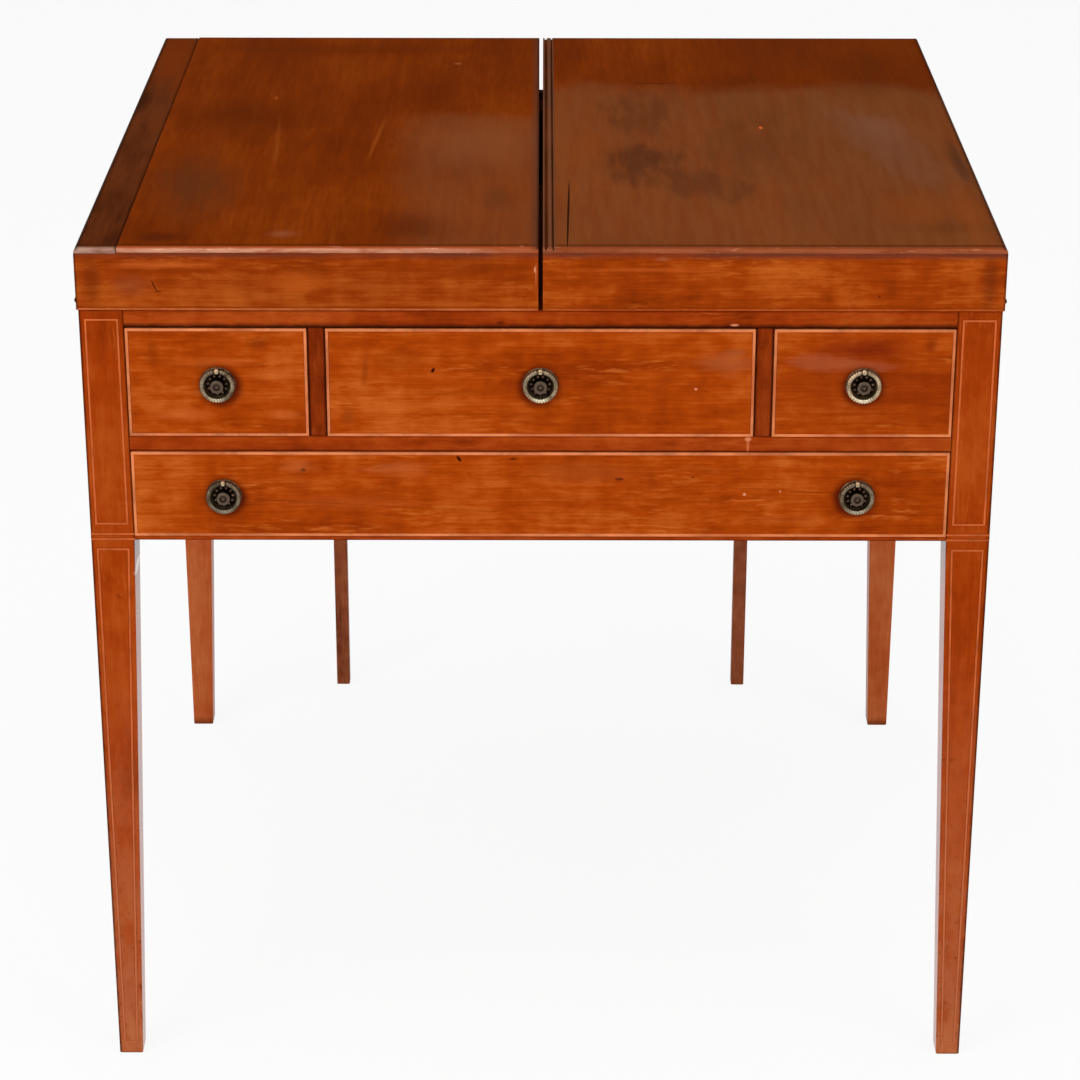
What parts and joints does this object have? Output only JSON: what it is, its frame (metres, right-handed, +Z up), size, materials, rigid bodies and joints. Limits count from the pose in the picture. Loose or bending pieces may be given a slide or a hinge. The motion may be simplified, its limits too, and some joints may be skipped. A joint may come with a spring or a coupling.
{
  "type": "washstand",
  "caption": "Wooden washstand with outward-opening box lids over a fitted deck, drawers with brass ring pulls, square tapering legs and a towel horse that draws out behind.",
  "frame": {"origin": "on the floor under the middle of the washstand's bounding box, lids and drawers closed and the towel horse drawn out", "axes": "+Z up, -Y towards the front with the drawers, +X towards the right-hand lid as seen from the front"},
  "size_m": [0.851, 0.867, 0.844],
  "materials": {
    "satinwood": "polished orange-brown satinwood with a worn wax sheen",
    "mahogany": "darker red-brown wood, waxed and worn",
    "oak": "plain unpolished oak",
    "boxwood": "pale polished boxwood lines",
    "brass": "worn pale brass",
    "dark_brass": "brass darkened with age",
    "iron": "blackened iron"
  },
  "bodies": {
    "case": {"leg_front_left": "satinwood", "leg_front_right": "satinwood", "leg_rear_left": "satinwood", "leg_rear_right": "satinwood", "side_panel_left": "satinwood", "side_panel_right": "satinwood", "back_panel": "mahogany", "top_rail": "satinwood", "middle_rail": "satinwood", "bottom_rail": "satinwood", "divider_left": "satinwood", "divider_right": "satinwood", "dust_board": "oak", "drawer_runners": "oak", "drawer_guides": "oak", "deck_bearers": "oak", "front_deck": "mahogany", "basin_board": "mahogany", "deck_strips": "mahogany", "case_hinge_leaves": "iron", "hinge_pins": "iron", "leg_stringing": "boxwood", "slide_guides": "oak"},
    "lid_left": {"lid_left_top": "mahogany", "lid_left_edge_board": "mahogany", "lid_left_end_rails": "satinwood", "lid_left_side_rails": "satinwood", "lid_left_hinge_leaves": "iron"},
    "lid_right": {"lid_right_top": "mahogany", "lid_right_bead_strip": "mahogany", "lid_right_end_rails": "satinwood", "lid_right_side_rail": "satinwood", "lid_right_hinge_leaves": "iron"},
    "drawer_left": {"left_drawer_front": "satinwood", "left_drawer_box": "oak", "left_drawer_stringing": "boxwood", "left_drawer_plate": "dark_brass", "left_drawer_bottom": "oak"},
    "drawer_centre": {"centre_drawer_front": "satinwood", "centre_drawer_box": "oak", "centre_drawer_stringing": "boxwood", "centre_drawer_plate": "dark_brass", "centre_drawer_bottom": "oak"},
    "drawer_right": {"right_drawer_front": "satinwood", "right_drawer_box": "oak", "right_drawer_stringing": "boxwood", "right_drawer_plate": "dark_brass", "right_drawer_bottom": "oak"},
    "drawer_long": {"long_drawer_front": "satinwood", "long_drawer_box": "oak", "long_drawer_stringing": "boxwood", "long_drawer_plates": "dark_brass", "long_drawer_bottom": "oak"},
    "ring_left": {"left_drawer_ring": "brass"},
    "ring_centre": {"centre_drawer_ring": "brass"},
    "ring_right": {"right_drawer_ring": "brass"},
    "ring_long_left": {"long_drawer_ring_left": "brass"},
    "ring_long_right": {"long_drawer_ring_right": "brass"},
    "towel_horse": {"towel_uprights": "mahogany", "towel_rails_and_arms": "mahogany"}
  },
  "joints": [
    {"name": "lid_left_hinge", "type": "hinge", "parent": "case", "child": "lid_left", "pos_m": [-0.42295, -0.048, 0.7848], "axis": [0, -1, 0], "range_deg": [0, 180]},
    {"name": "lid_right_hinge", "type": "hinge", "parent": "case", "child": "lid_right", "pos_m": [0.42295, -0.048, 0.7848], "axis": [0, 1, 0], "range_deg": [0, 180]},
    {"name": "left_drawer_slide", "type": "slide", "parent": "case", "child": "drawer_left", "axis": [0, -1, 0], "range_m": [0, 0.25]},
    {"name": "centre_drawer_slide", "type": "slide", "parent": "case", "child": "drawer_centre", "axis": [0, -1, 0], "range_m": [0, 0.25]},
    {"name": "right_drawer_slide", "type": "slide", "parent": "case", "child": "drawer_right", "axis": [0, -1, 0], "range_m": [0, 0.25]},
    {"name": "long_drawer_slide", "type": "slide", "parent": "case", "child": "drawer_long", "axis": [0, -1, 0], "range_m": [0, 0.4]},
    {"name": "left_ring_swing", "type": "hinge", "parent": "drawer_left", "child": "ring_left", "pos_m": [-0.295, -0.4291, 0.727], "axis": [-1, 0, 0], "range_deg": [0, 90]},
    {"name": "centre_ring_swing", "type": "hinge", "parent": "drawer_centre", "child": "ring_centre", "pos_m": [0, -0.4291, 0.727], "axis": [-1, 0, 0], "range_deg": [0, 90]},
    {"name": "right_ring_swing", "type": "hinge", "parent": "drawer_right", "child": "ring_right", "pos_m": [0.295, -0.4291, 0.727], "axis": [-1, 0, 0], "range_deg": [0, 90]},
    {"name": "long_left_ring_swing", "type": "hinge", "parent": "drawer_long", "child": "ring_long_left", "pos_m": [-0.293, -0.4291, 0.61675], "axis": [-1, 0, 0], "range_deg": [0, 90]},
    {"name": "long_right_ring_swing", "type": "hinge", "parent": "drawer_long", "child": "ring_long_right", "pos_m": [0.293, -0.4291, 0.61675], "axis": [-1, 0, 0], "range_deg": [0, 90]},
    {"name": "towel_horse_slide", "type": "slide", "parent": "case", "child": "towel_horse", "axis": [0, 1, 0], "range_m": [-0.087, 0.16]}
  ]
}
